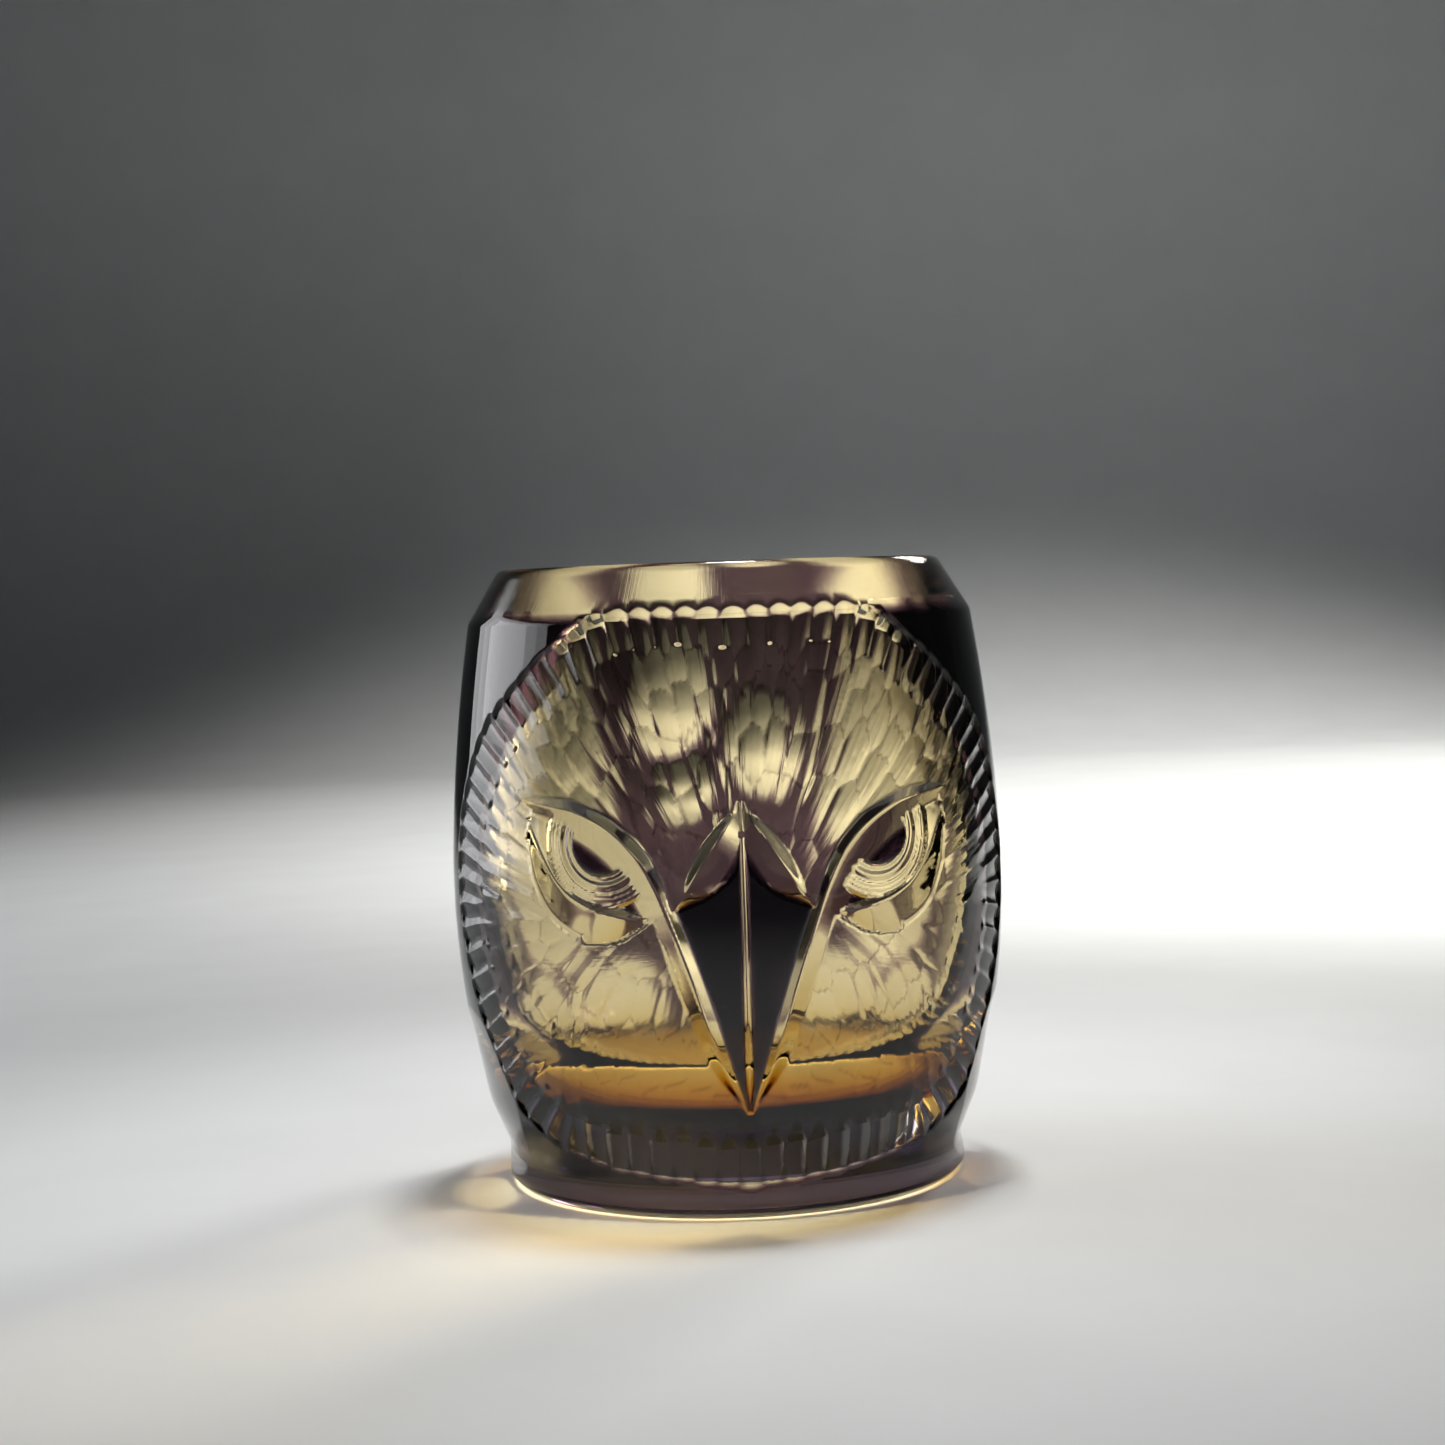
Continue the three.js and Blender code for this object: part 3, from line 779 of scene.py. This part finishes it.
class Nodes:
    """A material and short ways to add and link its nodes."""

    def __init__(self, name):
        self.mat = bpy.data.materials.new(name)
        self.mat.use_nodes = True
        self.tree = self.mat.node_tree
        self.tree.nodes.clear()

    def add(self, kind, **values):
        node = self.tree.nodes.new(kind)
        for key, value in values.items():
            setattr(node, key, value)
        return node

    def link(self, a, b):
        self.tree.links.new(a, b)

    def math(self, op, a, b=None, c=None):
        node = self.add("ShaderNodeMath", operation=op)
        for slot, value in enumerate((a, b, c)):
            if value is None:
                continue
            if isinstance(value, (int, float)):
                node.inputs[slot].default_value = value
            else:
                self.link(value, node.inputs[slot])
        return node.outputs[0]


def unrolled(n):
    """Across, height and the polar coordinates about the middle of the face, in mm."""
    coord = n.add("ShaderNodeTexCoord")
    split = n.add("ShaderNodeSeparateXYZ")
    n.link(coord.outputs["Object"], split.inputs[0])
    x, y, z = split.outputs
    turn = n.math("ARCTAN2", x, n.math("MULTIPLY", y, -1.0))
    across = n.math("MULTIPLY", turn, UNROLL_R)
    height = n.math("MULTIPLY", z, 1 / MM)
    up = n.math("SUBTRACT", height, FACE_MIDDLE_Z)
    angle = n.math("ARCTAN2", up, across)
    square = n.math("ADD", n.math("MULTIPLY", up, up), n.math("MULTIPLY", across, across))
    return across, height, angle, n.math("SQRT", square), coord


def paced(n, x, y, steps):
    """Vector of two values, each times its own pace."""
    node = n.add("ShaderNodeCombineXYZ")
    n.link(n.math("MULTIPLY", x, steps[0]), node.inputs[0])
    n.link(n.math("MULTIPLY", y, steps[1]), node.inputs[1])
    return node.outputs[0]


def noise(n, vec, scale, detail=2.0, rough=0.5):
    node = n.add("ShaderNodeTexNoise")
    node.inputs["Scale"].default_value = scale
    node.inputs["Detail"].default_value = detail
    node.inputs["Roughness"].default_value = rough
    n.link(vec, node.inputs["Vector"])
    return node.outputs["Fac"]


def glass(name, density, colour, ground=False, rough=(0.0, 0.03)):
    """Solid glass. Bonded faces and shadow rays pass straight through its surface."""
    n = Nodes(name)
    out = n.add("ShaderNodeOutputMaterial")
    shader = n.add("ShaderNodeBsdfPrincipled")
    shader.inputs["Base Color"].default_value = (1, 1, 1, 1)
    shader.inputs["Transmission Weight"].default_value = 1.0
    shader.inputs["IOR"].default_value = GLASS_IOR
    across, height, angle, reach, coord = unrolled(n)
    wear = noise(n, coord.outputs["Object"], WEAR_PACE, 3.0)
    haze = n.add("ShaderNodeMapRange")
    n.link(wear, haze.inputs["Value"])
    haze.inputs["To Min"].default_value = rough[0]
    haze.inputs["To Max"].default_value = rough[1]
    bump = n.add("ShaderNodeBump")
    bump.inputs["Distance"].default_value = BUMP_HEIGHT
    if ground:
        grain = n.add("ShaderNodeAttribute", attribute_name="grain")
        on_feather = n.math("COMPARE", grain.outputs["Fac"], GRAIN_FEATHER, GRAIN_MATCH)
        on_bevel = n.math("COMPARE", grain.outputs["Fac"], GRAIN_BEVEL, GRAIN_MATCH)
        streak = noise(n, paced(n, angle, reach, STREAK_STEPS), 1.0, 3.0)
        scratch = noise(n, paced(n, across, height, SCRATCH_STEPS), 1.0, 3.0)
        on_feather_lines = n.math("MULTIPLY", streak, on_feather)
        on_bevel_lines = n.math("MULTIPLY", scratch, on_bevel)
        bump.inputs["Strength"].default_value = GROUND_BUMP
        n.link(n.math("ADD", on_feather_lines, on_bevel_lines), bump.inputs["Height"])
        more = n.math("MULTIPLY", n.math("ADD", streak, scratch), GROUND_HAZE)
        more = n.math("MULTIPLY", more, n.math("ADD", on_feather, on_bevel))
        n.link(n.math("ADD", haze.outputs[0], more), shader.inputs["Roughness"])
        # Painted shade: the base colour darkens towards the crests between feathers.
        ridge = n.add("ShaderNodeAttribute", attribute_name="crest")
        line = n.add("ShaderNodeMapRange", interpolation_type="SMOOTHSTEP")
        n.link(ridge.outputs["Fac"], line.inputs["Value"])
        line.inputs["From Min"].default_value = CREST_START
        line.inputs["From Max"].default_value = 1.0
        crest_shade = n.add("ShaderNodeMix", data_type="RGBA")
        n.link(line.outputs[0], crest_shade.inputs["Factor"])
        crest_shade.inputs["A"].default_value = (1, 1, 1, 1)
        crest_shade.inputs["B"].default_value = CREST_PAINTED_SHADE
        n.link(crest_shade.outputs["Result"], shader.inputs["Base Color"])
    else:
        bump.inputs["Strength"].default_value = POLISHED_BUMP
        n.link(noise(n, coord.outputs["Object"], RIPPLE_PACE, 2.0), bump.inputs["Height"])
        n.link(haze.outputs[0], shader.inputs["Roughness"])
    n.link(bump.outputs[0], shader.inputs["Normal"])
    clear = n.add("ShaderNodeBsdfTransparent")
    bonded = n.add("ShaderNodeAttribute", attribute_name="bonded")
    path = n.add("ShaderNodeLightPath")
    see_through = n.math("MAXIMUM", bonded.outputs["Fac"], path.outputs["Is Shadow Ray"])
    mix = n.add("ShaderNodeMixShader")
    n.link(see_through, mix.inputs[0])
    n.link(shader.outputs[0], mix.inputs[1])
    n.link(clear.outputs[0], mix.inputs[2])
    n.link(mix.outputs[0], out.inputs["Surface"])
    soak = n.add("ShaderNodeVolumeAbsorption")
    soak.inputs["Color"].default_value = (*colour, 1)
    soak.inputs["Density"].default_value = density
    n.link(soak.outputs[0], out.inputs["Volume"])
    return n.mat


def plain(name, colour, rough, speckle):
    """Matt surface with a slight speckle."""
    n = Nodes(name)
    out = n.add("ShaderNodeOutputMaterial")
    shader = n.add("ShaderNodeBsdfPrincipled")
    coord = n.add("ShaderNodeTexCoord")
    tone = n.add("ShaderNodeMapRange")
    n.link(noise(n, coord.outputs["Object"], speckle, 4.0), tone.inputs["Value"])
    tone.inputs["To Min"].default_value = 0.94
    tone.inputs["To Max"].default_value = 1.04
    tint = n.add("ShaderNodeVectorMath", operation="SCALE")
    tint.inputs[0].default_value = colour
    n.link(tone.outputs[0], tint.inputs["Scale"])
    n.link(tint.outputs[0], shader.inputs["Base Color"])
    shader.inputs["Roughness"].default_value = rough
    n.link(shader.outputs[0], out.inputs["Surface"])
    return n.mat


# ------------------------------------------------------------------ assembly
s_axis, z_axis, S, Z, D, grain, crest = cut_depths()
march = marched(s_axis, z_axis, D)

PURPLE = (0.152, 0.0, 0.232)
crystal_glass = glass("clear crystal", 6.0, (0.93, 0.97, 0.95), ground=True)
amber_glass = glass("amber glass", 558.0, (0.803, 0.609, 0.0), rough=(0.0, 0.02))
overlay_glass = glass("dark purple overlay", 4600.0, PURPLE, rough=(0.0, 0.04))
island_glass = glass("dark purple islands", 7000.0, PURPLE, rough=(0.0, 0.04))

body = build_crystal(s_axis, z_axis, S, Z, D, grain, crest, march)
lining = build_lining()
overlays = build_overlay(S, Z, D, march)

placed = [
    (body, "crystal_body", "crystal", crystal_glass),
    (lining, "amber_lining", "amber", amber_glass),
]
for name, obj in overlays.items():
    look = overlay_glass if name == "overlay_casing" else island_glass
    placed.append((obj, name, "overlay", look))
for obj, node, slot, material in placed:
    obj.data.materials.append(material)
    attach(obj, "root")
    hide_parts(node)

# ------------------------------------------------------------------ stage, light, camera
ARC_STEPS = 12


def stage_sheet():
    """Sheet of paper that lies under the glass and curves up behind it."""
    depth_front, depth_back, rise, radius, width = 0.9, 1.35, 1.9, 0.4, 2.2
    profile = [(-depth_front, 0.0), (depth_back - radius, 0.0)]
    for k in range(1, ARC_STEPS + 1):
        a = math.pi / 2 * k / ARC_STEPS
        profile.append((depth_back - radius + radius * math.sin(a), radius * (1 - math.cos(a))))
    profile.append((depth_back, rise))
    verts, faces = [], []
    for y, z in profile:
        verts += [(-width, y, z), (width, y, z)]
    for k in range(len(profile) - 1):
        faces.append((2 * k, 2 * k + 1, 2 * k + 3, 2 * k + 2))
    obj = make_mesh("backdrop", np.array(verts, float), faces)
    obj.data.materials.append(plain("pale paper", (0.74, 0.76, 0.77), 0.8, 30.0))


def turned_to(obj, place_at, aim):
    """Puts a light in its place and turns it to a point."""
    obj.location = place_at
    obj.rotation_euler = (Vector(aim) - Vector(place_at)).to_track_quat("-Z", "Y").to_euler()


def add_light(name, kind, place_at, aim, power, colour):
    """Light that the camera doesn't see."""
    light = bpy.data.lights.new(name, kind)
    light.energy = power
    light.color = colour
    obj = bpy.data.objects.new(name, light)
    obj.visible_camera = False
    bpy.context.collection.objects.link(obj)
    turned_to(obj, place_at, aim)
    return light


def area(name, place_at, aim, size, power, colour):
    light = add_light(name, "AREA", place_at, aim, power, colour)
    light.shape = "RECTANGLE"
    light.size, light.size_y = size


def spot(name, place_at, aim, cone, power, colour):
    light = add_light(name, "SPOT", place_at, aim, power, colour)
    light.spot_size = math.radians(cone)
    light.spot_blend = 1.0
    light.shadow_soft_size = 0.05


stage_sheet()
MID = Vector((0, 0, 0.045))
SUNNY, WARM, COOL = (1.0, 0.98, 0.93), (1.0, 0.96, 0.9), (0.98, 0.98, 1.0)
spot("backdrop glow", (0.46, 0.4, 0.9), (0.27, 0.66, 0.0), 64.0, 58.0, SUNNY)
spot("far floor glow", (0.3, 0.1, 0.8), (0.12, 0.3, 0.0), 44.0, 12.0, SUNNY)
spot("table pool", (0.05, 0.1, 0.7), (0, -0.02, 0), 36.0, 12.0, (1.0, 0.99, 0.97))
for grow, power in ((1.0, 1.1), (1.5, 1.2), (2.0, 1.3)):
    size = (0.3 * grow, 0.22 + 0.09 * grow)
    area("left softbox", (-0.55, 0.22, 0.16), MID, size, power, COOL)
area("back strip", (0.3, 0.36, 0.34), MID, (0.10, 0.10), 1.0, WARM)

world = bpy.data.worlds.new("studio")
world.use_nodes = True
background = world.node_tree.nodes["Background"]
background.inputs[0].default_value = (0.75, 0.77, 0.8, 1)
background.inputs[1].default_value = 0.03
bpy.context.scene.world = world

CAMERA_DISTANCE, CAMERA_HEIGHT = 0.402, 0.0886
CAMERA_TURN, CAMERA_PITCH, CAMERA_ROLL = (math.radians(d) for d in (-3.0, 2.8, 2.0))
camera_data = bpy.data.cameras.new("camera")
camera_data.sensor_width = 36.0
camera_data.lens = 65.3
camera_data.clip_start = 0.01
camera = bpy.data.objects.new("camera", camera_data)
bpy.context.collection.objects.link(camera)
eye_x = CAMERA_DISTANCE * math.sin(CAMERA_TURN)
eye_y = -CAMERA_DISTANCE * math.cos(CAMERA_TURN)
eye_point = Vector((eye_x, eye_y, CAMERA_HEIGHT))
look = Matrix.Rotation(CAMERA_TURN, 4, "Z") @ Matrix.Rotation(math.pi / 2 - CAMERA_PITCH, 4, "X")
camera.matrix_world = Matrix.Translation(eye_point) @ look @ Matrix.Rotation(-CAMERA_ROLL, 4, "Z")
bpy.context.scene.camera = camera

cycles = bpy.context.scene.cycles
cycles.max_bounces = 32
cycles.transmission_bounces = 32
cycles.transparent_max_bounces = 64
cycles.glossy_bounces = 12
cycles.diffuse_bounces = 4
bpy.context.scene.view_settings.view_transform = "Standard"
